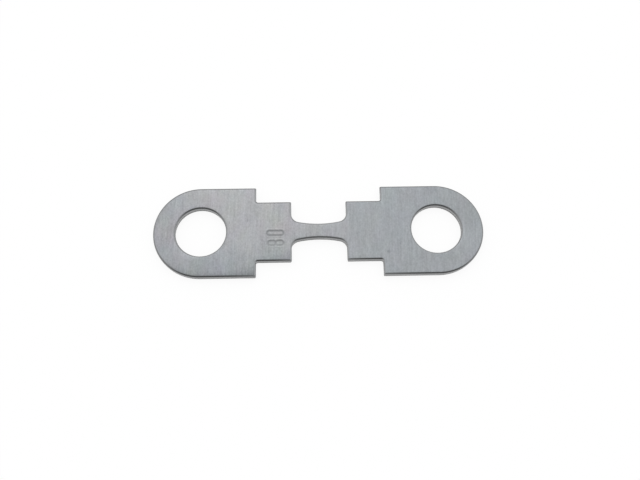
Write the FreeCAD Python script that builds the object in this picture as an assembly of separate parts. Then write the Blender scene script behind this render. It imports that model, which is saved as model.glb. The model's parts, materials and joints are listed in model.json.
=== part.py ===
"""Bolt-down strip fuse: one flat stamping with two bolting tabs, two shoulders and a necked link.

The strip lies on its lower face. X runs along it and Z points up. The origin is under its middle.
All sizes are in millimetres.
"""

import FreeCAD
import Part

import math
import os

# Sheet and bolting tabs
SHEET_THICKNESS = 1.0
BOLT_SPACING = 30.0
BOLT_HOLE_DIAMETER = 6.4
TAB_WIDTH = 12.0

# Shoulders, which step the tabs down towards the link
SHOULDER_WIDTH = 8.0
SHOULDER_LENGTH = 4.5
STEP_CORNER_RADIUS = 0.25

# Necked link, which melts
LINK_LENGTH = 7.0
LINK_WAIST_WIDTH = 1.95
LINK_FLANK_RADIUS = 13.0
LINK_ROOT_RADIUS = 1.1

# Sheared edge: a rolled rim on top, a smooth land, and a torn face that leans in below
RIM_ROLL_RADIUS = 0.25
TORN_FACE_HEIGHT = 0.52
TORN_FACE_SETBACK = 0.06

NODE = "fuse_strip"
PARTS_FOLDER = "parts"
ORIGIN = FreeCAD.Vector(0, 0, 0)
ALONG = FreeCAD.Vector(1, 0, 0)
ACROSS = FreeCAD.Vector(0, 1, 0)
UP = FreeCAD.Vector(0, 0, 1)
FLAT = 1e-6


def point(x, y):
    """A point on the strip's lower plane."""
    return FreeCAD.Vector(x, y, 0)


def line(start, end):
    """A straight edge."""
    return Part.LineSegment(start, end).toShape()


def arc(centre, radius, start_angle, end_angle):
    """An edge round a centre, from one angle to the other, in radians."""
    angles = (start_angle, (start_angle + end_angle) / 2, end_angle)
    passes = [centre + point(radius * math.cos(a), radius * math.sin(a)) for a in angles]
    return Part.Arc(*passes).toShape()


def flank_centre():
    """The centre of the long arc that hollows the link's upper side."""
    return point(0, LINK_WAIST_WIDTH / 2 + LINK_FLANK_RADIUS)


def root_centre():
    """The centre of the small arc that touches both the flank arc and the shoulder's end."""
    flank = flank_centre()
    x = LINK_LENGTH / 2 - LINK_ROOT_RADIUS
    between = LINK_FLANK_RADIUS - LINK_ROOT_RADIUS
    return point(x, flank.y - math.sqrt(between**2 - x**2))


def root_touch_angle():
    """The angle, seen from the flank arc's centre, where the root arc takes over."""
    reach = root_centre() - flank_centre()
    return math.atan2(reach.y, reach.x)


def stepped_side():
    """The outline at +X and +Y from the end of the flank arc to the start of the round tip."""
    shoulder_start = LINK_LENGTH / 2
    tab_start = shoulder_start + SHOULDER_LENGTH
    shoulder_side = SHOULDER_WIDTH / 2
    tab_side = TAB_WIDTH / 2
    root = root_centre()
    step = point(tab_start - STEP_CORNER_RADIUS, shoulder_side + STEP_CORNER_RADIUS)
    shoulder_corner = point(shoulder_start, shoulder_side)
    tab_corner = point(tab_start, tab_side)
    return [
        arc(root, LINK_ROOT_RADIUS, root_touch_angle(), 0),
        line(point(shoulder_start, root.y), shoulder_corner),
        line(shoulder_corner, point(step.x, shoulder_side)),
        arc(step, STEP_CORNER_RADIUS, -math.pi / 2, 0),
        line(point(tab_start, step.y), tab_corner),
        line(tab_corner, point(BOLT_SPACING / 2, tab_side)),
    ]


def mirrored(edges, normal):
    """The edges together with their mirror images through the origin."""
    return edges + [edge.mirror(ORIGIN, normal) for edge in edges]


def outline():
    """The closed outline of the strip, alike in its four quarters."""
    touch = root_touch_angle()
    flank = arc(flank_centre(), LINK_FLANK_RADIUS, -math.pi - touch, touch)
    tip = arc(point(BOLT_SPACING / 2, 0), TAB_WIDTH / 2, -math.pi / 2, math.pi / 2)
    sides = mirrored(mirrored(stepped_side(), ALONG), ACROSS)
    edges = sides + mirrored([flank], ACROSS) + mirrored([tip], ALONG)
    return Part.Wire(Part.__sortEdges__(edges))


def bolt_holes():
    """The round outlines of the two bolt holes."""
    radius = BOLT_HOLE_DIAMETER / 2
    centres = [point(side * BOLT_SPACING / 2, 0) for side in (-1, 1)]
    return [Part.Wire(Part.makeCircle(radius, centre, UP)) for centre in centres]


def edges_at(solid, height):
    """The edges of a solid that lie flat at one height."""
    return [
        edge
        for edge in solid.Edges
        if abs(edge.BoundBox.ZMin - height) < FLAT and abs(edge.BoundBox.ZMax - height) < FLAT
    ]


def fuse_strip():
    """The stamping: its profile raised to the sheet's thickness, torn below and rolled over on top."""
    profile = Part.Face([outline(), *bolt_holes()], "Part::FaceMakerBullseye")
    blank = profile.extrude(UP * SHEET_THICKNESS)
    torn = blank.makeChamfer(TORN_FACE_HEIGHT, TORN_FACE_SETBACK, edges_at(blank, 0))
    return torn.makeFillet(RIM_ROLL_RADIUS, edges_at(torn, SHEET_THICKNESS)).Solids[0]


def main():
    """Builds the strip, writes its file and prints its size."""
    os.makedirs(PARTS_FOLDER, exist_ok=True)
    strip = fuse_strip()
    strip.exportStep(os.path.join(PARTS_FOLDER, NODE + ".step"))
    box = strip.optimalBoundingBox(True, False)
    print(NODE, "valid" if strip.isValid() else "not valid", "faces", len(strip.Faces))
    print("size", round(box.XLength, 3), round(box.YLength, 3), round(box.ZLength, 3))
    print("volume", round(strip.Volume, 3))


main()
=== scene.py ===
"""The looks of a bolt-down strip fuse: one stamped strip of rolled zinc sheet on a pale floor.

The strip lies on z = 0, X runs along it and the camera stands in front of it, towards -Y.
Everything is in metres; sizes are written in millimetres, times MM or inside mm().
"""

import json
import logging
import math
from collections.abc import Sequence
from dataclasses import dataclass
from enum import Enum

import bpy
import numpy as np
from mathutils import Matrix, Vector

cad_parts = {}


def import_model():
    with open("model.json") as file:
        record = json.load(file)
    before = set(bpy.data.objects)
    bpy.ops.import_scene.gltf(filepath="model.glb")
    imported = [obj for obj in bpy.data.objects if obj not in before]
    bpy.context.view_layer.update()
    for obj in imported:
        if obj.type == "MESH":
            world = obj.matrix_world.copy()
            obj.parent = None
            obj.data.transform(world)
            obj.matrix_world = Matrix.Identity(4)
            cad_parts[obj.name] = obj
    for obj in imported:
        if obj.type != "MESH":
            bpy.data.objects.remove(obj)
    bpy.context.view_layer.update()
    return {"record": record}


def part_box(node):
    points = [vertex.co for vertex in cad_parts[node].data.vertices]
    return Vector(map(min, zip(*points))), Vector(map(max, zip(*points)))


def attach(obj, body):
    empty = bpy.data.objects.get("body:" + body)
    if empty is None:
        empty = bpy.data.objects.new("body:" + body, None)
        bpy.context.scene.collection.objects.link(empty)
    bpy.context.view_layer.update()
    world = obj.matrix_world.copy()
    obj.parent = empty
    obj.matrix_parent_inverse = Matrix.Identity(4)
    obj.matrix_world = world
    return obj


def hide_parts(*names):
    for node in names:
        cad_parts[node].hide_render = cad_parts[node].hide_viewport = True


MM = 0.001
NODE = "fuse_strip"
BODY = "root"
WELD_STEP = 1e-8
BLOCK = 4096
SHARP_ANGLE = math.radians(35)

Node = bpy.types.Node
Socket = bpy.types.NodeSocket
Inputs = dict[str | int, object]
Array = np.ndarray
Pair = tuple[float, float]
Colour = tuple[float, float, float, float]
Size = tuple[float, float, float]
Span = tuple[float, float]

log = logging.getLogger("strip_fuse")


def mm(*lengths: float) -> tuple[float, ...]:
    """Lengths given in millimetres, in metres."""
    return tuple(length * MM for length in lengths)


class Finish(Enum):
    """The finishes of the strip, in the order of its material slots."""

    ROLLED_SHEET = 0
    DRAWN_RIM = 1
    SHEARED_LAND = 2
    TORN_FACE = 3


# Curves in the strip's plane


@dataclass(frozen=True)
class Run:
    """A stretch of outline: points in the plane and, at each, the way out of the sheet.

    The way out is the unit normal, but towards a square corner it leans along the edge as well, so
    that the insets of the corner's two edges meet in a mitre.
    """

    points: Array
    outward: Array

    def inset(self, depth: float) -> Array:
        """The stretch moved into the sheet: each point less the depth times its way out."""
        return self.points - depth * self.outward

    def mirrored(self, x_sign: int, y_sign: int) -> "Run":
        """The stretch mirrored in either axis, its order kept."""
        signs = np.array([x_sign, y_sign])
        return Run(self.points * signs, self.outward * signs)

    def reversed(self) -> "Run":
        """The stretch walked from its other end."""
        return Run(self.points[::-1], self.outward[::-1])

    def lengths(self) -> Array:
        """The length that each point stands for: half of the steps before and after it."""
        halves = np.linalg.norm(np.diff(self.points, axis=0), axis=1) / 2
        return np.append(halves, 0) + np.append(0, halves)

    def facing_front(self) -> Array:
        """How much the edge faces -Y at each point, from -1 to 1."""
        return -self.outward[:, 1] / np.linalg.norm(self.outward, axis=1)

    def split(self) -> tuple["Run", "Run"]:
        """Cuts the stretch in two at its middle point, which both halves keep.

        Returns:
            The half before that point and the half after it.
        """
        middle = len(self.points) // 2
        first = Run(self.points[: middle + 1], self.outward[: middle + 1])
        return first, Run(self.points[middle:], self.outward[middle:])


def chained(runs: Sequence[Run]) -> Run:
    """Joins stretches end to start, with each shared point kept once.

    Args:
        runs: The stretches, each from where the one before it ends.

    Returns:
        One stretch.
    """
    points = [runs[0].points] + [run.points[1:] for run in runs[1:]]
    outward = [runs[0].outward] + [run.outward[1:] for run in runs[1:]]
    return Run(np.concatenate(points), np.concatenate(outward))


def straight(start: Pair, end: Pair, normal: Pair, step: float, leans: tuple[Pair, Pair]) -> Run:
    """A straight stretch, (1 - t) start + t end, with a way out of normal + (1 - t) lean + t lean.

    Args:
        start: Its first point.
        end: Its last point.
        normal: The unit normal out of the sheet.
        step: The longest distance from one point to the next.
        leans: How the way out leans at the first and at the last point.

    Returns:
        The stretch, evenly divided.
    """
    start, end, normal, first_lean, last_lean = map(np.asarray, (start, end, normal, *leans))
    count = max(1, math.ceil(np.linalg.norm(end - start) / step))
    share = np.linspace(0, 1, count + 1)[:, None]
    points = (1 - share) * start + share * end
    return Run(points, normal + (1 - share) * first_lean + share * last_lean)


def round_stretch(centre: Pair, radius: float, angles: Pair, hollow: bool, count: int) -> Run:
    """A round stretch, centre + radius (cos a, sin a).

    Args:
        centre: The arc's centre.
        radius: Its radius.
        angles: Its first and last angle, in radians.
        hollow: True where the arc's centre lies outside the sheet.
        count: The number of even steps along it.

    Returns:
        The stretch.
    """
    turn = np.linspace(*angles, count + 1)
    spokes = np.column_stack([np.cos(turn), np.sin(turn)])
    return Run(np.asarray(centre) + radius * spokes, -spokes if hollow else spokes)


@dataclass(frozen=True)
class StripPlan:
    """The strip seen from above. Its quarters are alike, apart from how finely they are divided."""

    hole_spacing: float
    hole_radius: float
    tab_width: float
    thickness: float
    shoulder_width: float = 8.0 * MM
    shoulder_length: float = 4.5 * MM
    step_corner_radius: float = 0.25 * MM
    link_length: float = 7.0 * MM
    waist_width: float = 1.95 * MM
    flank_radius: float = 13.0 * MM
    root_radius: float = 1.1 * MM
    punch_corner_radius: float = 0.13 * MM
    corner_mitre: float = 0.65
    step: float = 0.15 * MM
    corner_steps: int = 6

    @classmethod
    def from_frame(cls, record: dict) -> "StripPlan":
        """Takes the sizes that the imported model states: its box and its two bolt holes.

        Args:
            record: The part's record, which holds its mounts.

        Returns:
            The plan, with its other sizes as they stand above.
        """
        low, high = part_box(NODE)
        mounts = {mount["name"]: mount for mount in record["mounts"]}
        left, right = mounts["left_bolt_hole"], mounts["right_bolt_hole"]
        return cls(
            hole_spacing=right["pos_m"][0] - left["pos_m"][0],
            hole_radius=right["dims"]["r_mm"] * MM,
            tab_width=high.y - low.y,
            thickness=high.z - low.z,
        )

    @property
    def shoulder_start(self) -> float:
        """How far along X the link ends and the shoulder starts."""
        return self.link_length / 2

    @property
    def tab_start(self) -> float:
        """How far along X the shoulder ends and the tab starts."""
        return self.shoulder_start + self.shoulder_length

    def link_runs(self) -> list[Run]:
        """The link's edge from its waist to the shoulder's end.

        The root arc touches the flank arc and the shoulder's end: its centre lies as far from the
        flank's as the radii differ, and one root radius before the shoulder.

        Returns:
            The long hollow flank, then the small root arc.
        """
        flank_y = self.waist_width / 2 + self.flank_radius
        root_x = self.shoulder_start - self.root_radius
        reach = self.flank_radius - self.root_radius
        root_y = flank_y - math.sqrt(reach**2 - root_x**2)
        touch = math.atan2(root_y - flank_y, root_x)
        flank_count = math.ceil(self.flank_radius * (touch + math.pi / 2) / self.step)
        root_count = 2 * math.ceil(-self.root_radius * touch / self.step)
        flank_angles, root_angles = (-math.pi / 2, touch), (touch, 0)
        return [
            round_stretch((0, flank_y), self.flank_radius, flank_angles, True, flank_count),
            round_stretch((root_x, root_y), self.root_radius, root_angles, True, root_count),
        ]

    def rise(self, start: Pair, top: float) -> Run:
        """A straight edge that faces -X, from a start up to a square corner."""
        leans = ((0, 0), (0, self.corner_mitre))
        return straight(start, (start[0], top), (-1, 0), self.step, leans)

    def level(self, start: Pair, end: float, step: float) -> Run:
        """A straight edge that faces +Y, from a square corner along X to an end."""
        leans = ((-self.corner_mitre, 0), (0, 0))
        return straight(start, (end, start[1]), (0, 1), step, leans)

    def shoulder_end(self) -> Run:
        """The straight end of the shoulder beside the link, up to its corner."""
        root = self.link_runs()[-1].points[-1]
        return self.rise(root, self.shoulder_width / 2 - self.punch_corner_radius)

    def outer_corner(self, x: float, y: float) -> Run:
        """A square outer corner of the strip, rounded as the punch leaves it.

        Its way out is a mix of the arc's own normal and the sum of both edges' normals, so that an
        inset makes the arc tighter and moves it in along the corner's bisector.

        Args:
            x: Where the edge that faces -X stands.
            y: Where the edge that faces +Y stands.

        Returns:
            The arc, from the first edge to the second.
        """
        radius = self.punch_corner_radius
        centre = (x + radius, y - radius)
        arc = round_stretch(centre, radius, (math.pi, math.pi / 2), False, self.corner_steps)
        mitre = self.corner_mitre
        return Run(arc.points, (1 - mitre) * arc.outward + mitre * np.array([-1, 1]))

    def shoulder_side(self, step: float) -> Run:
        """The long side of the shoulder and the small hollow corner at the tab.

        Args:
            step: The longest distance from one point of the side to the next.

        Returns:
            Both as one stretch.
        """
        side = self.shoulder_width / 2
        radius = self.step_corner_radius
        arc_x = self.tab_start - radius
        centre, angles = (arc_x, side + radius), (-math.pi / 2, 0)
        arc = round_stretch(centre, radius, angles, True, self.corner_steps)
        start = (self.shoulder_start + self.punch_corner_radius, side)
        return chained([self.level(start, arc_x, step), arc])

    def tab_runs(self) -> list[Run]:
        """The tab's outline, from the shoulder to the far end of the tip.

        Returns:
            Its step face, its corner, its side and its round tip.
        """
        side = self.tab_width / 2
        radius = self.punch_corner_radius
        foot = self.shoulder_width / 2 + self.step_corner_radius
        start, tip_x = self.tab_start, self.hole_spacing / 2
        tip_count = math.ceil(side * math.pi / 2 / self.step)
        return [
            self.rise((start, foot), side - radius),
            self.outer_corner(start, side),
            self.level((start + radius, side), tip_x, self.step),
            round_stretch((tip_x, 0), side, (math.pi / 2, 0), False, tip_count),
        ]

    def quarter(self, shoulder_step: float) -> Run:
        """The outline at +X and +Y, from the waist to the far end of the tip.

        Args:
            shoulder_step: The longest distance between two points of the shoulder's side.

        Returns:
            One stretch.
        """
        corner = self.outer_corner(self.shoulder_start, self.shoulder_width / 2)
        shoulder = [self.shoulder_end(), corner, self.shoulder_side(shoulder_step)]
        return chained([*self.link_runs(), *shoulder, *self.tab_runs()])

    def loop(self, left_step: float, right_step: float) -> Run:
        """The whole outline, anticlockwise from the waist's lower side and closed on itself.

        Args:
            left_step: The longest distance between two points of the left shoulder's sides.
            right_step: The same on the right shoulder.

        Returns:
            One stretch.
        """
        left, right = self.quarter(left_step), self.quarter(right_step)
        first, last = left.mirrored(-1, 1), left.mirrored(-1, -1).reversed()
        return chained([right.mirrored(1, -1), right.reversed(), first, last])


# Surfaces


@dataclass(frozen=True)
class Patch:
    """A surface given at the crossings of a grid, rows by columns by three.

    Its quads hold what they are finished in, and its points how much painted shade they take.
    """

    grid: Array
    finishes: Array
    painted_shade: Array

    def flipped(self) -> "Patch":
        """The same surface facing the other way."""
        return Patch(self.grid[::-1], self.finishes[::-1], self.painted_shade[::-1])

    @classmethod
    def flat(cls, plane: Array, height: float, faces_up: bool) -> "Patch":
        """A level patch of rolled sheet.

        Args:
            plane: The grid's points in the plane, rows by columns by two.
            height: How high they lie.
            faces_up: True to keep the grid as it runs, or else it is flipped.

        Returns:
            The patch.
        """
        rows, columns = plane.shape[:2]
        grid = np.concatenate([plane, np.full((rows, columns, 1), height)], axis=2)
        finishes = np.full((rows - 1, columns - 1), Finish.ROLLED_SHEET.value)
        flat = cls(grid, finishes, np.zeros((rows, columns)))
        return flat if faces_up else flat.flipped()


def between(first: Array, last: Array, shares: Array) -> Array:
    """The surface ruled between two curves: (1 - t) first + t last, a row for each share t."""
    t = shares[:, None, None]
    return (1 - t) * first[None] + t * last[None]


def fitted(bottom: Array, top: Array, left: Array, right: Array) -> Array:
    """A surface in a frame of four curves that share its corners.

    It is the surface ruled from bottom to top, plus the one ruled from left to right, less the
    plane through the four corners that both of them hold.

    Args:
        bottom: The curve at the low rows, left to right.
        top: The curve at the high rows, left to right.
        left: The curve at the low columns, bottom to top.
        right: The curve at the high columns, bottom to top.

    Returns:
        Its points, rows by columns by two.
    """
    u = walked_share(bottom)[None, :, None]
    v = walked_share(right)[:, None, None]
    ruled_up = (1 - v) * bottom[None] + v * top[None]
    ruled_across = (1 - u) * left[:, None] + u * right[:, None]
    lower = (1 - u) * bottom[0] + u * bottom[-1]
    upper = (1 - u) * top[0] + u * top[-1]
    return ruled_up + ruled_across - (1 - v) * lower - v * upper


def walked_share(curve: Array) -> Array:
    """The share of a curve's length that lies behind each of its points.

    Args:
        curve: Its points.

    Returns:
        Shares from 0 to 1.
    """
    steps = np.linalg.norm(np.diff(curve, axis=0), axis=1)
    walked = np.append(0, np.cumsum(steps))
    return walked / walked[-1]


def eased(count: int) -> Array:
    """Shares from 0 to 1 that crowd at both ends: half of one less the cosine."""
    return (1 - np.cos(np.linspace(0, math.pi, count + 1))) / 2


def smooth(low: float, high: float, value: Array) -> Array:
    """Rises from 0 at low to 1 at high along 3 t squared less 2 t cubed."""
    t = np.clip((value - low) / (high - low), 0, 1)
    return t * t * (3 - 2 * t)


@dataclass(frozen=True)
class Ripple:
    """A smooth wandering between about -1 and 1: sines with drawn ways, lengths and starts."""

    shortest: float
    longest: float
    seed: int
    waves: int = 24

    def at(self, points: Array) -> Array:
        """The ripple's value: the sum of the sines, times the root of two over their number.

        The phase of a sine is its start, plus two pi times the distance along its way over its
        length.

        Args:
            points: Places, with their coordinates along the last axis.

        Returns:
            The value at each place.
        """
        draw = np.random.default_rng(self.seed)
        ways = draw.normal(size=(self.waves, points.shape[-1]))
        ways /= np.linalg.norm(ways, axis=1, keepdims=True)
        lengths = draw.uniform(self.shortest, self.longest, self.waves)
        starts = draw.uniform(0, 2 * math.pi, self.waves)
        phases = points @ (ways * (2 * math.pi / lengths[:, None])).T + starts
        return np.sin(phases).sum(axis=-1) * math.sqrt(2 / self.waves)


@dataclass(frozen=True)
class ShearedEdge:
    """The cut edge from the top down: a rolled rim, a smooth land and a torn face that leans in."""

    rim_radius: float = 0.25 * MM
    rim_steps: int = 6
    bright_rim_steps: int = 1
    dark_rim_steps: int = 3
    land_foot: float = 0.52 * MM
    land_waver: float = 0.035 * MM
    land_ripple: Ripple = Ripple(0.9 * MM, 4 * MM, seed=3)
    land_shares: tuple[float, ...] = (0.5, 1.0)
    break_drop: float = 0.03 * MM
    break_setback: float = 0.012 * MM
    torn_setback: float = 0.06 * MM
    torn_roughness: float = 0.008 * MM
    torn_waves: Span = mm(0.35, 0.9)
    torn_seed: int = 11
    torn_shares: tuple[float, ...] = (0.0, 0.15, 0.35, 0.55, 0.75, 1.0)
    foot_radius: float = 0.02 * MM
    # The spans and shares below set the rim's painted shade: darkest where it faces -Y.
    front_span: Span = (0.72, 1.0)
    back_span: Span = (0.3, 0.9)
    hole_span: Span = (0.55, 0.97)
    tip_span: Span = mm(9.0, 13.0)
    link_span: Span = mm(2.4, 3.6)
    tip_painted_shade: float = 0.42
    back_painted_shade: float = 0.8
    link_front_painted_shade: float = 0.8
    link_back_painted_shade: float = 0.3
    hole_painted_shade: float = 0.2

    @property
    def foot_inset(self) -> float:
        """How far inside the outline the level lower face ends."""
        return self.torn_setback + self.foot_radius

    def profile(self, run: Run, thickness: float) -> tuple[Array, Array, Array]:
        """The edge's profile at every point of a stretch of outline.

        From the top down it is a quarter circle of the rim's radius, an upright land whose foot is
        a height plus a ripple, a straight lean from the break's setback to the torn face's with a
        ripple in its middle, and a short slope under the sheet.

        Args:
            run: The outline.
            thickness: The sheet's thickness.

        Returns:
            The insets and heights, profile points by outline points, and the finish of each band.
        """
        level = np.ones(len(run.points))
        turn = np.linspace(math.pi / 2, 0, self.rim_steps + 1)
        insets = [self.rim_radius * (1 - math.cos(a)) * level for a in turn]
        heights = [(thickness - self.rim_radius * (1 - math.sin(a))) * level for a in turn]
        foot = self.land_foot + self.land_waver * self.land_ripple.at(run.points)
        for share in self.land_shares:
            insets.append(0 * level)
            heights.append((1 - share) * (thickness - self.rim_radius) + share * foot)
        torn_top = foot - self.break_drop
        for index, share in enumerate(self.torn_shares):
            height = (1 - share) * torn_top + share * self.foot_radius
            ripple = Ripple(*self.torn_waves, seed=self.torn_seed + index)
            rough = ripple.at(np.column_stack([run.points, height])) * math.sin(math.pi * share)
            lean = (1 - share) * self.break_setback + share * self.torn_setback
            insets.append(lean + self.torn_roughness * rough)
            heights.append(height)
        insets.append(self.foot_inset * level)
        heights.append(0 * level)
        steep_steps = self.rim_steps - self.bright_rim_steps - self.dark_rim_steps
        bands = [Finish.ROLLED_SHEET] * self.bright_rim_steps
        bands += [Finish.DRAWN_RIM] * self.dark_rim_steps
        bands += [Finish.SHEARED_LAND] * (steep_steps + len(self.land_shares))
        bands += [Finish.TORN_FACE] * (len(self.torn_shares) + 1)
        return np.array(insets), np.array(heights), np.array([band.value for band in bands])

    def wall(self, run: Run, thickness: float, painted_shade: Array) -> Patch:
        """The profile carried along a stretch: each point less the inset times its way out.

        Args:
            run: The stretch.
            thickness: The sheet's thickness.
            painted_shade: How much painted shade the edge takes at each point of the stretch.

        Returns:
            The wall, with its rows from the top down.
        """
        insets, heights, bands = self.profile(run, thickness)
        plane = run.points[None] - insets[:, :, None] * run.outward[None]
        grid = np.concatenate([plane, heights[:, :, None]], axis=2)
        finishes = np.repeat(bands[:, None], grid.shape[1] - 1, axis=1)
        return Patch(grid, finishes, np.repeat(painted_shade[None], len(grid), axis=0))

    def outer_painted_shade(self, run: Run) -> Array:
        """How much painted shade the outer rim takes at each point.

        It is 1 where the rim faces -Y, less where it faces +Y, and on both sides less along the
        link. In between it is nothing, but for a little round the tips.

        Args:
            run: The strip's outer outline.

        Returns:
            Shares from 0 to 1.
        """
        front = run.facing_front()
        off_middle = np.abs(run.points[:, 0])
        side = self.tip_painted_shade * smooth(*self.tip_span, off_middle)
        beside_link = smooth(*self.link_span, off_middle)
        most = self.link_front_painted_shade + (1 - self.link_front_painted_shade) * beside_link
        back = self.link_back_painted_shade + (self.back_painted_shade - self.link_back_painted_shade) * beside_link
        facing, turned = smooth(*self.front_span, front), smooth(*self.back_span, -front)
        return side + (most - side) * facing + (back - side) * turned

    def hole_rim_painted_shade(self, run: Run) -> Array:
        """How much painted shade a hole's rim takes: 1 where it faces -Y, else a little."""
        facing = smooth(*self.hole_span, run.facing_front())
        return self.hole_painted_shade + (1 - self.hole_painted_shade) * facing

    def walls(self, rims: Sequence[Run], thickness: float) -> list[Patch]:
        """The walls along the strip's outline and along its bolt holes.

        Args:
            rims: The outer outline, then the holes.
            thickness: The sheet's thickness.

        Returns:
            A wall for each of them.
        """
        outer, *holes = rims
        walls = [self.wall(outer, thickness, self.outer_painted_shade(outer))]
        return walls + [self.wall(hole, thickness, self.hole_rim_painted_shade(hole)) for hole in holes]


@dataclass(frozen=True)
class DieRoll:
    """The sheet sinks a little towards its cut edges, most where the punch ran loose."""

    depth: float = 0.02 * MM
    reach: float = 0.18 * MM
    loose_depth: float = 0.11 * MM
    loose_reach: float = 2.0 * MM
    loose_side: Pair = (-0.25, -0.97)
    loose_turn: Span = (0.2, 1.0)
    loose_span: Span = mm(2, -4)

    def sink(self, points: Array, rims: Sequence[Run]) -> Array:
        """How far the upper face lies below its plane beside every edge.

        Every outline point lowers its surroundings by a bell curve of the distance, in proportion
        to the length it stands for, so that beside a long straight edge the sum is the depth times
        the bell curve.

        Args:
            points: Places in the plane.
            rims: The outlines of the strip and of its holes.

        Returns:
            The depth at each place.
        """
        places = np.concatenate([rim.points for rim in rims])
        lengths = np.concatenate([rim.lengths() for rim in rims])
        return bells(points, places, lengths * self.depth, self.reach)

    def drawn(self, points: Array, outer: Run) -> Array:
        """How far each place was drawn down beside the outer edge, where that faces the loose side.

        The bells stand one reach outside the edge, so that the face tips most at the edge itself.

        Args:
            points: Places in the plane.
            outer: The strip's outer outline.

        Returns:
            Shares of the loose depth, from 0 far inside to about 0.6 at the edge.
        """
        loose = smooth(*self.loose_turn, outer.outward @ np.array(self.loose_side))
        loose = loose * smooth(*self.loose_span, outer.points[:, 0])
        outside, weights = outer.inset(-self.loose_reach), outer.lengths() * loose
        return bells(points, outside, weights, self.loose_reach)


def bells(points: Array, centres: Array, weights: Array, width: float) -> Array:
    """The sum of bell curves of one width round many centres, a block of points at a time.

    Each is its weight times e to the minus half the squared ratio of distance to width, over the
    width and the root of two pi. The squared distance comes from both squared lengths and their
    product.

    Args:
        points: Places in the plane.
        centres: The middles of the curves.
        weights: The area under each curve.
        width: The width that they share.

    Returns:
        The sum at each place.
    """
    sums = np.empty(len(points))
    centre_squares = (centres**2).sum(axis=1)
    for start in range(0, len(points), BLOCK):
        part = points[start : start + BLOCK]
        squares = (part**2).sum(axis=1)[:, None] + centre_squares - 2 * part @ centres.T
        sums[start : start + BLOCK] = np.exp(-squares / (2 * width**2)) @ weights
    return sums / (width * math.sqrt(2 * math.pi))


@dataclass(frozen=True)
class StampedDigit:
    """A digit of long rings, stamped with its top towards -X and read along +Y.

    Each ring is a pair (low, high): the span of its centre line up the digit. The bite is how
    firmly the stamp came down on the digit's -Y side and on its +Y side.
    """

    place: Pair
    rings: tuple[Span, ...]
    bite: Span
    width: float = 0.62 * MM

    def distance(self, points: Array) -> Array:
        """The distance from each place to the digit's centre lines.

        A ring is all places that lie half a width from its spine, so the distance to it is that to
        the spine less half a width, without its sign.

        Args:
            points: Places in the plane.

        Returns:
            The distance at each place.
        """
        across = points[:, 1] - self.place[1]
        up = self.place[0] - points[:, 0]
        radius = self.width / 2
        gaps = []
        for low, high in self.rings:
            along = np.clip(up, low + radius, high - radius)
            gaps.append(np.abs(np.hypot(across, up - along) - radius))
        return np.min(gaps, axis=0)

    def firmness(self, points: Array) -> Array:
        """The digit's bite, on a smooth step across it from one side's to the other's.

        Args:
            points: Places in the plane.

        Returns:
            The bite at each place.
        """
        light, firm = self.bite
        half = self.width / 2
        return light + (firm - light) * smooth(-half, half, points[:, 1] - self.place[1])


@dataclass(frozen=True)
class Stamp:
    """The plain number on the left shoulder: a pressed, round-bottomed groove with raised lips."""

    digits: tuple[StampedDigit, ...] = (
        StampedDigit(mm(-5.52, -1.66), (mm(-1.02, 0.03), mm(-0.03, 0.98)), bite=(0.5, 0.95)),
        StampedDigit(mm(-5.56, -0.31), (mm(-1.04, 1.04),), bite=(0.85, 1.0)),
    )
    half_stroke: float = 0.155 * MM
    floor_share: float = 0.15
    depth: float = 0.04 * MM
    lip_height: float = 0.012 * MM
    lip_place: float = 0.22 * MM
    lip_width: float = 0.06 * MM

    def relief(self, points: Array) -> tuple[Array, Array]:
        """The number's height over the sheet, and how deep each place lies in one of its strokes.

        The stroke is one less a smooth step of the distance, from the groove's narrow floor out to
        the half stroke. The lip is a bell curve about its own distance. Both are as strong as the
        digit's bite.

        Args:
            points: Places in the plane.

        Returns:
            The heights, below 0 in the strokes, and shares from 0 outside to 1 at their middle.
        """
        floor = self.floor_share * self.half_stroke
        strokes, lips = [], []
        for digit in self.digits:
            distance, bite = digit.distance(points), digit.firmness(points)
            strokes.append(bite * (1 - smooth(floor, self.half_stroke, distance)))
            lips.append(bite * np.exp(-(((distance - self.lip_place) / self.lip_width) ** 2)))
        stroke, lip = np.max(strokes, axis=0), np.max(lips, axis=0)
        return self.lip_height * lip - self.depth * stroke, stroke


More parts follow.
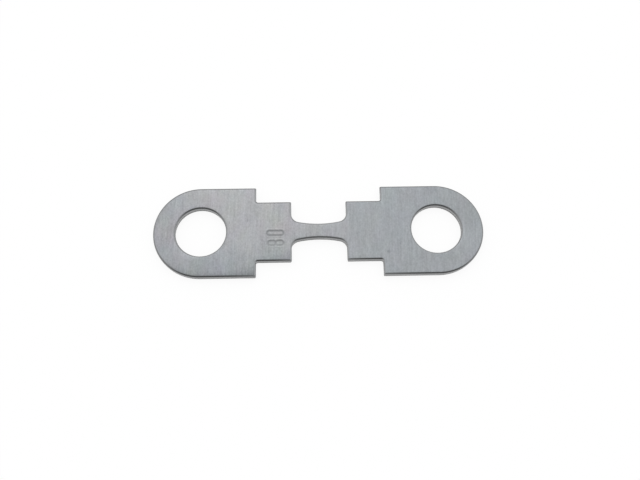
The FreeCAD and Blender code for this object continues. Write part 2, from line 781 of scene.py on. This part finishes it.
@dataclass(frozen=True)
class StripMesh:
    """Builds the strip as one closed mesh of patches that share their seams."""

    plan: StripPlan
    edge: ShearedEdge = ShearedEdge()
    roll: DieRoll = DieRoll()
    stamp: Stamp = Stamp()
    fine_step: float = 0.05 * MM
    tab_rings: int = 20
    plain_rings: int = 9
    sink_start: float = 0.6

    def link_rows(self) -> Array:
        """Shares across the link, from -1 to 1, fine because they run on through the stamp."""
        root = self.plan.link_runs()[-1].points[-1][1]
        return np.linspace(-1, 1, math.ceil(2 * root / self.fine_step) + 1)

    def link_face(self, inset: float, rows: Array) -> Array:
        """The link: each point of its upper edge, joined straight to its mirror image.

        Args:
            inset: How far inside the outline the face ends.
            rows: Shares across the link, from -1 to 1.

        Returns:
            Its points.
        """
        half = chained(self.plan.link_runs()).inset(inset)
        upper = np.concatenate([half[:0:-1] * [-1, 1], half])
        return between(upper * [1, -1], upper, (rows + 1) / 2)

    def shoulder_sides(self, inset: float, rows: Array, side: int) -> tuple[Array, ...]:
        """The four curves round the right shoulder.

        It stands for the left one too, which is stamped and divided more finely along X.

        Args:
            inset: How far inside the outline the face ends.
            rows: Shares across the link, from -1 to 1.
            side: 1 for the right side of the strip and -1 for the left one.

        Returns:
            The bottom, top, left and right curve.
        """
        plan, step = self.plan, self.fine_step if side < 0 else self.plan.step
        corner = plan.outer_corner(plan.shoulder_start, plan.shoulder_width / 2)
        before, after = corner.split()
        rise = chained([plan.shoulder_end(), before]).inset(inset)
        top = chained([after, plan.shoulder_side(step)]).inset(inset)
        joint = np.column_stack([np.full(len(rows), rise[0, 0]), rows * rise[0, 1]])
        left = np.concatenate([rise[:0:-1] * [1, -1], joint, rise[1:]])
        reach = (left[:, 1] / left[-1, 1]) * top[-1, 1]
        right = np.column_stack([np.full(len(reach), top[-1, 0]), reach])
        return top * [1, -1], top, left, right

    def tab_ring(self, inset: float, rows: Array, side: int) -> Array:
        """The closed outer line of the right tab's face, which stands for the left one too.

        Args:
            inset: How far inside the outline the face ends.
            rows: Shares across the link, from -1 to 1.
            side: 1 for the right side of the strip and -1 for the left one.

        Returns:
            Its points, from the joint to the shoulder on.
        """
        *_, joint = self.shoulder_sides(inset, rows, side)
        upper = chained(self.plan.tab_runs()).inset(inset)
        lower = upper[::-1] * [1, -1]
        return np.concatenate([joint, upper[1:], lower[1:]])

    def hole_run(self, rows: Array, side: int) -> Run:
        """The right bolt hole's outline, with a point towards each point of the tab's outline.

        Args:
            rows: Shares across the link, from -1 to 1.
            side: 1 for the right side of the strip and -1 for the left one.

        Returns:
            The outline, closed on itself.
        """
        centre = [self.plan.hole_spacing / 2, 0]
        away = self.tab_ring(self.edge.rim_radius, rows, side) - centre
        spokes = away / np.linalg.norm(away, axis=1, keepdims=True)
        return Run(centre + self.plan.hole_radius * spokes, -spokes)

    def tab_face(self, inset: float, rows: Array, side: int, rings: int) -> Array:
        """A tab: the surface ruled from the bolt hole's rim out to the tab's outline.

        Args:
            inset: How far inside both of them the face ends.
            rows: Shares across the link, from -1 to 1.
            side: 1 for the right side of the strip and -1 for the left one.
            rings: The number of steps from the rim out.

        Returns:
            Its points.
        """
        rim = self.hole_run(rows, side).inset(inset)
        outer = self.tab_ring(inset, rows, side)
        return between(rim, outer, eased(rings))

    def level_patches(self, inset: float, height: float, faces_up: bool) -> list[Patch]:
        """One level face of the strip. Mirrored to the left side, a patch faces the other way.

        Args:
            inset: How far inside the outline the face ends.
            height: How high it lies.
            faces_up: True for the upper face.

        Returns:
            The link, and on each side a shoulder and a tab.
        """
        rows = self.link_rows()
        rings = self.tab_rings if faces_up else self.plain_rings
        patches = [Patch.flat(self.link_face(inset, rows), height, faces_up)]
        for side in (-1, 1):
            shoulder = fitted(*self.shoulder_sides(inset, rows, side))
            for plane in (shoulder, self.tab_face(inset, rows, side, rings)):
                patches.append(Patch.flat(plane * [side, 1], height, faces_up == (side > 0)))
        return patches

    def rims(self) -> list[Run]:
        """The outlines that the cut edge runs along.

        Returns:
            The strip's outline, anticlockwise, then its two bolt holes, clockwise.
        """
        rows = self.link_rows()
        right = self.hole_run(rows, 1)
        left = self.hole_run(rows, -1).mirrored(-1, 1).reversed()
        return [self.plan.loop(self.fine_step, self.plan.step), right, left]

    def patches(self) -> list[Patch]:
        """Every patch of the strip, each facing outwards.

        Returns:
            The upper face, the lower face and the walls.
        """
        thickness = self.plan.thickness
        upper = self.level_patches(self.edge.rim_radius, thickness, faces_up=True)
        lower = self.level_patches(self.edge.foot_inset, 0.0, faces_up=False)
        return upper + lower + [wall.flipped() for wall in self.edge.walls(self.rims(), thickness)]

    def build(self) -> bpy.types.Object:
        """Welds the patches, sinks the upper face and stamps it, and makes the object.

        Returns:
            The strip, still without its finishes.
        """
        points, quads, finishes, painted_shade = welded(self.patches())
        plane, rims, thickness = points[:, :2], self.rims(), self.plan.thickness
        weight = smooth(self.sink_start * thickness, thickness, points[:, 2])
        heights, strokes = self.stamp.relief(plane)
        drawn = self.roll.drawn(plane, rims[0])
        sink = self.roll.sink(plane, rims) + self.roll.loose_depth * drawn
        points[:, 2] += weight * (heights - sink)
        mesh = bpy.data.meshes.new("stamped_strip")
        fill_mesh(mesh, points, quads, finishes)
        # The stamp's strokes and the die roll's draw also steer painted shade in the sheet's
        # finish; the last mark is the cut edge's painted shade.
        marks = {"stamp": weight * strokes, "drawn": weight * drawn, "painted_shade": painted_shade}
        for mark, values in marks.items():
            attribute = mesh.attributes.new(mark, "FLOAT", "POINT")
            attribute.data.foreach_set("value", values.astype(np.float32))
        return added("stamped_strip", mesh)


def added(name: str, data: bpy.types.ID) -> bpy.types.Object:
    """Makes an object and adds it to the scene.

    Args:
        name: Its name.
        data: Its mesh, lamp or camera.

    Returns:
        The object.
    """
    thing = bpy.data.objects.new(name, data)
    bpy.context.scene.collection.objects.link(thing)
    return thing


def welded(patches: Sequence[Patch]) -> tuple[Array, Array, Array, Array]:
    """Joins patches into one mesh, where points at the same place become one.

    Args:
        patches: The patches.

    Returns:
        The points, the quads as four point numbers, each quad's finish and each point's painted
        shade.
    """
    points, quads, finishes, painted_shade = [], [], [], []
    first = 0
    for patch in patches:
        rows, columns = patch.grid.shape[:2]
        number = first + np.arange(rows * columns).reshape(rows, columns)
        corners = (number[:-1, :-1], number[:-1, 1:], number[1:, 1:], number[1:, :-1])
        quads.append(np.stack(corners, axis=-1).reshape(-1, 4))
        points.append(patch.grid.reshape(-1, 3))
        finishes.append(patch.finishes.reshape(-1))
        painted_shade.append(patch.painted_shade.reshape(-1))
        first += rows * columns
    loose = np.concatenate(points)
    keys = np.round(loose / WELD_STEP).astype(np.int64)
    _, kept, places = np.unique(keys, axis=0, return_index=True, return_inverse=True)
    corners = places.reshape(-1)[np.concatenate(quads)]
    return loose[kept], corners, np.concatenate(finishes), np.concatenate(painted_shade)[kept]


def fill_mesh(mesh: bpy.types.Mesh, points: Array, quads: Array, finishes: Array) -> None:
    """Puts points and quads into an empty mesh, smooth but for its sharp edges.

    Args:
        mesh: The mesh.
        points: Its points.
        quads: The four point numbers of each quad.
        finishes: Each quad's finish.
    """
    mesh.vertices.add(len(points))
    mesh.vertices.foreach_set("co", points.astype(np.float32).reshape(-1))
    mesh.loops.add(quads.size)
    mesh.loops.foreach_set("vertex_index", quads.astype(np.int32).reshape(-1))
    mesh.polygons.add(len(quads))
    mesh.polygons.foreach_set("loop_start", np.arange(0, quads.size, 4, dtype=np.int32))
    mesh.polygons.foreach_set("material_index", finishes.astype(np.int32))
    mesh.update(calc_edges=True)
    mesh.validate()
    mesh.shade_smooth()
    mesh.set_sharp_from_angle(angle=SHARP_ANGLE)


# Finishes


class NodeBoard:
    """A node tree, with short ways to add the nodes that the finishes and the studio share."""

    def __init__(self, tree: bpy.types.NodeTree) -> None:
        """Takes a tree and empties it."""
        self.tree = tree
        tree.nodes.clear()

    def feed(self, node: Node, inputs: Inputs) -> None:
        """Links sockets to a node's inputs, or sets those whose value is a number or a colour.

        Args:
            node: The node.
            inputs: What its inputs get, by their names or numbers.
        """
        for key, value in inputs.items():
            if isinstance(value, Socket):
                self.tree.links.new(value, node.inputs[key])
            else:
                node.inputs[key].default_value = value

    def add(self, kind: str, inputs: Inputs | None = None, **settings: object) -> Node:
        """Adds a node.

        Args:
            kind: The node's type.
            inputs: What its inputs get, by their names or numbers.
            **settings: What its properties get, by their names.

        Returns:
            The node.
        """
        node = self.tree.nodes.new(kind)
        for name, value in settings.items():
            setattr(node, name, value)
        self.feed(node, inputs or {})
        return node

    def part_of(self, vector: Socket, axis: str) -> Socket:
        """One of the three parts of a vector, named X, Y or Z."""
        return self.add("ShaderNodeSeparateXYZ", {"Vector": vector}).outputs[axis]

    def ranged(
        self, value: Socket, source: Span, target: Span = (0, 1), shape: str = "LINEAR"
    ) -> Socket:
        """Maps one range of values to another, held at its ends.

        Args:
            value: The value to map.
            source: The range that it comes from.
            target: The range that it goes to.
            shape: The kind of step between them.

        Returns:
            The mapped value.
        """
        limits = zip(("From Min", "From Max", "To Min", "To Max"), (*source, *target))
        inputs = {"Value": value, **dict(limits)}
        node = self.add("ShaderNodeMapRange", inputs, clamp=True, interpolation_type=shape)
        return node.outputs["Result"]

    def math(self, operation: str, *values: object) -> Socket:
        """Works out one operation on two or more values, from the first on.

        Args:
            operation: Its name.
            *values: The sockets and numbers.

        Returns:
            The result.
        """
        result, *others = values
        for value in others:
            node = self.add("ShaderNodeMath", {0: result, 1: value}, operation=operation)
            result = node.outputs["Value"]
        return result

    def mix(self, share: object, first: object, second: object, blend: str = "MIX") -> Socket:
        """Mixes two colours.

        Args:
            share: How much of the second one shows.
            first: The colour below.
            second: The colour above.
            blend: How the second one is laid over the first.

        Returns:
            The mixed colour.
        """
        inputs = {"Factor": share, "A": first, "B": second}
        node = self.add("ShaderNodeMix", inputs, data_type="RGBA", blend_type=blend)
        return node.outputs["Result"]

    def rays(self, *kinds: str) -> Socket:
        """1 on rays of any of the kinds and 0 on the others."""
        path = self.add("ShaderNodeLightPath")
        return self.math("MAXIMUM", *(path.outputs[kind] for kind in kinds))


class FinishBoard(NodeBoard):
    """A material's node tree, with its shader and output in place, and ways to add patterns."""

    def __init__(self, name: str) -> None:
        """Starts a material.

        Args:
            name: The material's name.
        """
        self.material = bpy.data.materials.new(name)
        self.material.use_nodes = True
        super().__init__(self.material.node_tree)
        self.shader = self.add("ShaderNodeBsdfPrincipled")
        self.add("ShaderNodeOutputMaterial", {"Surface": self.shader.outputs["BSDF"]})
        self.place = self.add("ShaderNodeTexCoord").outputs["Object"]

    def mark(self, name: str) -> Socket:
        """The value that the mesh holds under a name."""
        return self.add("ShaderNodeAttribute", attribute_name=name).outputs["Fac"]

    def mapped(self, vector: Socket, **inputs: Sequence[float]) -> Socket:
        """A vector after a mapping, whose inputs go by their names."""
        return self.add("ShaderNodeMapping", {"Vector": vector, **inputs}).outputs["Vector"]

    def lumps(self, size: Size, detail: float, roughness: float = 0.5, turn: float = 0.0) -> Node:
        """Fractal noise, about 0.5 on average, whose lumps have a size along each axis.

        Args:
            size: The size of its lumps along X, Y and Z.
            detail: How many finer octaves are added.
            roughness: How strong each octave is beside the one before it.
            turn: The angle about Z from the lumps' own axes to the object's.

        Returns:
            The noise node, which gives a value and a colour.
        """
        turned = self.mapped(self.place, Rotation=(0, 0, turn))
        place = self.mapped(turned, Scale=[1 / length for length in size])
        inputs = {"Vector": place, "Scale": 1.0, "Detail": detail, "Roughness": roughness}
        return self.add("ShaderNodeTexNoise", inputs, noise_dimensions="3D")

    def paint(self, base: Socket, metallic: float, roughness: object) -> None:
        """Gives the shader its colour, how much of it is metal and how rough it is."""
        self.feed(self.shader, {"Base Color": base, "Metallic": metallic, "Roughness": roughness})

    def bump(self, height: Socket, distance: float) -> None:
        """Gives the shader a bump, whose height of 1 stands for a distance in metres."""
        bump = self.add("ShaderNodeBump", {"Height": height, "Distance": distance})
        self.feed(self.shader, {"Normal": bump.outputs["Normal"]})


def colour(red: float, green: float, blue: float) -> Colour:
    """A solid colour, from its linear parts."""
    return (red, green, blue, 1.0)


WHITE = colour(1, 1, 1)
DARK_MARK = colour(0.152, 0.157, 0.166)
# Pale: a patch at the right tip and a painted highlight by the left hole.
PALE_PATCH_AND_HIGHLIGHT = colour(0.5, 0.52, 0.54)
NOISE_MIDDLE: Span = (0.3, 0.7)
NOISE_REACH: Span = (0.2, 0.8)


@dataclass(frozen=True)
class MarkOrHighlight:
    """A dark mark, a pale patch or a painted highlight on the sheet: an ellipse that fades over its
    rim.
    """

    place: Pair
    radii: Pair
    strength: float
    tint: Colour
    fade: Span = (0.3, 1.3)

    def mask(self, board: FinishBoard) -> Socket:
        """How much of the mark shows, by the place less the mark's own, over its radii.

        Args:
            board: The material's nodes.

        Returns:
            Its strength in the middle, down to 0 past the rim.
        """
        scale = [1 / radius for radius in self.radii]
        shift = [-way * share for way, share in zip(self.place, scale)]
        place = board.mapped(board.place, Scale=(*scale, 0), Location=(*shift, 0))
        length = board.add("ShaderNodeVectorMath", {0: place}, operation="LENGTH")
        return board.ranged(length.outputs["Value"], self.fade, (self.strength, 0))


@dataclass(frozen=True)
class Pattern:
    """A noise that lightens and darkens the sheet: the size of its lumps and how deep it goes."""

    size: Size
    depth: float
    detail: float = 1.0
    roughness: float = 0.5
    turn: float = 0.0

    def fac(self, board: FinishBoard) -> Socket:
        """The noise itself, about 0.5 on average."""
        return board.lumps(self.size, self.detail, self.roughness, self.turn).outputs["Fac"]

    def shade(self, board: FinishBoard, fac: Socket) -> Socket:
        """What the noise adds to the sheet's tone, from less its depth to its depth."""
        return board.ranged(fac, NOISE_REACH, (-self.depth, self.depth))


@dataclass(frozen=True)
class RolledSheet:
    """Satin rolled zinc: streaks across the strip on soft clouds of tint, with painted shade in the
    stamp.

    The sheet is neutral on the left half, where its colour holds a painted highlight. Painted shade
    makes it a little darker at the left tip, a little darker and bluer on the right half and
    towards the left half's front, and darkest along the left half's front edge.
    """

    # Lit and shaded copies of one sheet: a painted highlight and painted shade, mixed in by place.
    left_tip_painted_shade: Colour = colour(0.344, 0.352, 0.366)
    painted_highlight: Colour = colour(0.382, 0.386, 0.398)
    cool_painted_shade: Colour = colour(0.366, 0.386, 0.405)
    right_painted_shade: Colour = colour(0.352, 0.372, 0.389)
    front: Colour = colour(0.307, 0.323, 0.339)
    # Painted shade in the stamp's strokes.
    stamped: Colour = colour(0.249, 0.257, 0.266)
    tip_span: Span = mm(-20.0, -14.0)
    right_span: Span = mm(-1.0, 5.5)
    cool_span: Span = mm(0.3, -3.6)
    front_span: Span = mm(-1.5, -7.5)
    drawn_span: Span = (0.3, 0.6)
    drawn_painted_shade: float = 0.24
    contrast: Span = (1.0, 0.85)
    cloud_size: Size = mm(2.0, 2.8, 2.8)
    cloud_detail: float = 2.0
    cloud_share: Span = (0.021, 0.012)
    streaks: Pattern = Pattern(
        size=mm(0.28, 0.9, 0.9), depth=0.12, detail=2, roughness=0.6, turn=math.radians(3)
    )
    lines: Pattern = Pattern(size=mm(0.2, 4.0, 4.0), depth=0.09, turn=math.radians(2))
    blotches: Pattern = Pattern(size=mm(0.9, 2.0, 2.0), depth=0.05)
    grain: Pattern = Pattern(size=mm(0.17, 0.22, 0.22), depth=0.13)
    brushing: Pattern = Pattern(
        size=mm(0.05, 1.6, 1.6), depth=0.05, detail=2, turn=math.radians(3)
    )
    metallic: float = 0.9
    roughness: Span = (0.28, 0.42)
    grain_bump: float = 0.5
    bump_height: float = 0.004 * MM
    marks_and_highlight: tuple[MarkOrHighlight, ...] = (
        # Two dark specks.
        MarkOrHighlight(mm(8.70, -2.99), mm(0.24, 0.24), 0.45, DARK_MARK),
        MarkOrHighlight(mm(-9.09, 1.49), mm(0.08, 0.27), 0.4, DARK_MARK),
        # A darker patch at the right tip's back and a paler one at its front.
        MarkOrHighlight(mm(18.8, 2.4), mm(1.4, 2.3), 0.1, DARK_MARK),
        MarkOrHighlight(mm(18.9, -1.6), mm(1.6, 2.2), 0.18, PALE_PATCH_AND_HIGHLIGHT),
        # A painted highlight by the left hole's front rim.
        MarkOrHighlight(mm(-16.4, -3.1), mm(1.7, 0.7), 0.3, PALE_PATCH_AND_HIGHLIGHT),
    )

    def ground(self, board: FinishBoard) -> Socket:
        """The sheet's colour before its patterns, with clouds of tint, weaker on the right.

        Its painted highlight and painted shade are mixed in by place.

        Args:
            board: The material's nodes.

        Returns:
            The colour.
        """
        along, across = board.part_of(board.place, "X"), board.part_of(board.place, "Y")
        right = board.ranged(along, self.right_span)
        base = self.left_tip_painted_shade
        # Painted light: from the left tip's painted shade to the painted highlight, then painted
        # shade towards the front and on the right.
        for share, tint in (
            (board.ranged(along, self.tip_span), self.painted_highlight),
            (board.ranged(across, self.cool_span), self.cool_painted_shade),
            (board.ranged(across, self.front_span), self.front),
            (right, self.right_painted_shade),
        ):
            base = board.mix(share, base, tint)
        clouds = board.lumps(self.cloud_size, self.cloud_detail).outputs["Color"]
        share = board.ranged(right, (0, 1), self.cloud_share)
        return board.mix(share, base, clouds, "LINEAR_LIGHT")

    def material(self) -> bpy.types.Material:
        """Builds the material's nodes.

        Returns:
            The material.
        """
        board = FinishBoard("rolled_zinc_sheet")
        patterns = (self.streaks, self.lines, self.blotches, self.grain, self.brushing)
        facs = [pattern.fac(board) for pattern in patterns]
        shades = [pattern.shade(board, fac) for pattern, fac in zip(patterns, facs)]
        # Painted shade where the die roll drew the sheet down beside the left half's front edge.
        shades.append(board.ranged(board.mark("drawn"), self.drawn_span, (0, -self.drawn_painted_shade)))
        contrast = board.ranged(board.part_of(board.place, "X"), self.right_span, self.contrast)
        tone = board.math("ADD", 1.0, *shades)
        lit = board.mix(contrast, self.ground(board), tone, "MULTIPLY")
        # Dark specks, a darker and a paler patch on the right tip, and a painted highlight by the
        # left hole.
        for spot in self.marks_and_highlight:
            lit = board.mix(spot.mask(board), lit, spot.tint)
        streaks, _, _, grain, brushing = facs
        roughness = board.ranged(streaks, NOISE_MIDDLE, self.roughness)
        # Painted shade in the stamp's strokes: the colour goes to the stamped one by the stroke
        # mark.
        board.paint(board.mix(board.mark("stamp"), lit, self.stamped), self.metallic, roughness)
        grain = board.math("MULTIPLY", grain, self.grain_bump)
        board.bump(board.math("ADD", streaks, grain, brushing), self.bump_height)
        return board.material


@dataclass(frozen=True)
class CutFace:
    """A finish of the cut edge: noise between two tones, with painted shade where the mesh says.

    Unless another noise is given, it runs in drawn lines down the edge.
    """

    name: str
    low: Colour
    high: Colour
    roughness: float
    painted_shade_colour: Colour | None = None
    metallic: float = 0.95
    lump_size: Size = mm(0.09, 0.09, 2.0)
    detail: float = 3.0
    octave_strength: float = 0.6
    bump_height: float = 0.006 * MM

    def material(self) -> bpy.types.Material:
        """Builds the material's nodes.

        Returns:
            The material.
        """
        board = FinishBoard(self.name)
        lumps = board.lumps(self.lump_size, self.detail, self.octave_strength).outputs["Fac"]
        tone = board.mix(board.ranged(lumps, NOISE_MIDDLE), self.low, self.high)
        # Painted shade: the tone turns to the painted-shade colour as far as the mesh's mark says.
        if self.painted_shade_colour:
            tone = board.mix(board.mark("painted_shade"), tone, self.painted_shade_colour)
        board.paint(tone, self.metallic, self.roughness)
        board.bump(lumps, self.bump_height)
        return board.material


def dress(piece: bpy.types.Object) -> None:
    """Gives the strip its finishes, in the order of its material slots.

    Args:
        piece: The strip.
    """
    makers = {
        Finish.ROLLED_SHEET: RolledSheet(),
        Finish.DRAWN_RIM: CutFace(
            name="drawn_rim",
            low=colour(0.313, 0.32, 0.326),
            high=colour(0.37, 0.378, 0.385),
            # Painted shade on the rim, darkest where it faces the front.
            painted_shade_colour=colour(0.118, 0.12, 0.122),
            roughness=0.3,
        ),
        Finish.SHEARED_LAND: CutFace(
            name="sheared_land",
            low=colour(0.276, 0.279, 0.282),
            high=colour(0.342, 0.345, 0.349),
            # On the land the painted shade is one even middle tone.
            painted_shade_colour=colour(0.304, 0.307, 0.31),
            roughness=0.35,
        ),
        Finish.TORN_FACE: CutFace(
            name="torn_face",
            low=colour(0.247, 0.249, 0.249),
            high=colour(0.40, 0.402, 0.40),
            roughness=0.7,
            metallic=0.7,
            lump_size=mm(0.12, 0.12, 0.2),
            detail=4.0,
            bump_height=0.02 * MM,
        ),
    }
    for finish in Finish:
        piece.data.materials.append(makers[finish].material())


# Studio


@dataclass(frozen=True)
class Studio:
    """A white floor and sky, dimmer towards the front, and a soft lamp over the far left."""

    floor_half: float = 0.9
    floor_base: Colour = colour(0.9, 0.9, 0.9)
    floor_seen: Colour = colour(0.135, 0.135, 0.135)
    floor_glow: float = 0.889
    floor_roughness: float = 0.9
    front_level: float = 0.5
    back_level: float = 1.0
    room_span: Span = (-0.6, 0.25)
    lamp_place: Size = (-0.04, 0.24, 0.39)
    lamp_size: float = 0.13
    lamp_power: float = 0.05

    def floor(self) -> bpy.types.Object:
        """Lays a wide level sheet at z = 0.

        Returns:
            The sheet.
        """
        half = self.floor_half
        corners = [(-half, -half, 0), (half, -half, 0), (half, half, 0), (-half, half, 0)]
        mesh = bpy.data.meshes.new("floor")
        mesh.from_pydata(corners, [], [(0, 1, 2, 3)])
        mesh.materials.append(self.floor_material())
        floor = added("floor", mesh)
        return floor

    def floor_material(self) -> bpy.types.Material:
        """A pale matt floor.

        The camera, gloss and glass see it as white: a part of its own light, and a glow that fills
        the rest where no shadow falls, so that the strip's shadow stays as a faint one.

        Returns:
            The material.
        """
        board = FinishBoard("pale_floor")
        seen = board.rays("Is Camera Ray", "Is Glossy Ray", "Is Transmission Ray")
        board.paint(board.mix(seen, self.floor_base, self.floor_seen), 0.0, self.floor_roughness)
        glow = board.math("MULTIPLY", seen, self.floor_glow)
        light = {"Specular IOR Level": 0.0, "Emission Color": WHITE, "Emission Strength": glow}
        board.feed(board.shader, light)
        return board.material

    def sky(self) -> None:
        """A world that the camera and glass see as white.

        Gloss and matt surfaces see it white at the back and dimmer towards the front, along a
        smooth step of the direction's Y, as from the open side of a white tent.
        """
        world = bpy.data.worlds.new("studio_sky")
        bpy.context.scene.world = world
        world.use_nodes = True
        board = NodeBoard(world.node_tree)
        way = board.add("ShaderNodeTexCoord").outputs["Generated"]
        levels = (self.front_level, self.back_level)
        room = board.ranged(board.part_of(way, "Y"), self.room_span, levels, "SMOOTHSTEP")
        strength = board.math("MAXIMUM", room, board.rays("Is Camera Ray", "Is Transmission Ray"))
        sky = board.add("ShaderNodeBackground", {"Color": WHITE, "Strength": strength})
        board.add("ShaderNodeOutputWorld", {"Surface": sky.outputs["Background"]})

    def lamp(self) -> bpy.types.Object:
        """Hangs a square soft lamp that looks at the strip's middle.

        Returns:
            The lamp.
        """
        light = bpy.data.lights.new("soft_lamp", "AREA")
        light.shape = "SQUARE"
        light.size = self.lamp_size
        light.energy = self.lamp_power
        lamp = added("soft_lamp", light)
        lamp.location = self.lamp_place
        lamp.rotation_euler = Vector(self.lamp_place).to_track_quat("Z", "Y").to_euler()
        return lamp

    def build(self) -> None:
        """Lays the floor, lights the sky, hangs the lamp and reports them."""
        floor, lamp = self.floor(), self.lamp()
        self.sky()
        bpy.context.scene.view_settings.view_transform = "Standard"
        log.info("%s: %.1f m wide", floor.name, 2 * self.floor_half)
        log.info("%s: %.2f W", lamp.name, self.lamp_power)


@dataclass(frozen=True)
class Viewpoint:
    """The photograph's camera: it looks down on the strip from the front, turned a few degrees.

    The strip's origin shows at a place in the picture, given in pixels from its upper left corner.
    """

    elevation: float = math.radians(69.69)
    turn: float = math.radians(4.56)
    roll: float = math.radians(3.41)
    distance: float = 101.9 * MM
    scale: float = 7.803 / MM
    origin_pixel: Pair = (318.89, 232.98)
    picture: tuple[int, int] = (640, 480)
    sensor_width: float = 36.0
    near_limit: float = 0.01

    def build(self) -> None:
        """Makes the camera and gives it to the scene.

        The lens follows from the scale in pixels a metre at the origin's distance, and the camera
        stands where the origin lies at its pixel on the plane at that distance.
        """
        lens = bpy.data.cameras.new("camera")
        lens.sensor_width = self.sensor_width
        lens.lens = self.scale * self.distance / self.picture[0] * self.sensor_width
        lens.clip_start = self.near_limit
        axes = (
            Matrix.Rotation(-self.turn, 4, "Z")
            @ Matrix.Rotation(math.pi / 2 - self.elevation, 4, "X")
            @ Matrix.Rotation(self.roll, 4, "Z")
        )
        right = (self.origin_pixel[0] - self.picture[0] / 2) / self.scale
        down = (self.origin_pixel[1] - self.picture[1] / 2) / self.scale
        place = axes @ Vector((-right, down, self.distance))
        camera = added("camera", lens)
        camera.matrix_world = Matrix.Translation(place) @ axes
        bpy.context.scene.camera = camera


def main() -> None:
    """Builds the strip, its finishes, the studio and the camera in order."""
    logging.basicConfig(level=logging.INFO, format="%(name)s: %(message)s")
    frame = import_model()
    plan = StripPlan.from_frame(frame["record"])
    piece = StripMesh(plan).build()
    dress(piece)
    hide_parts(NODE)
    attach(piece, BODY)
    points, quads = len(piece.data.vertices), len(piece.data.polygons)
    log.info("%s: %d points, %d quads", piece.name, points, quads)
    Studio().build()
    Viewpoint().build()


if __name__ == "__main__":
    main()
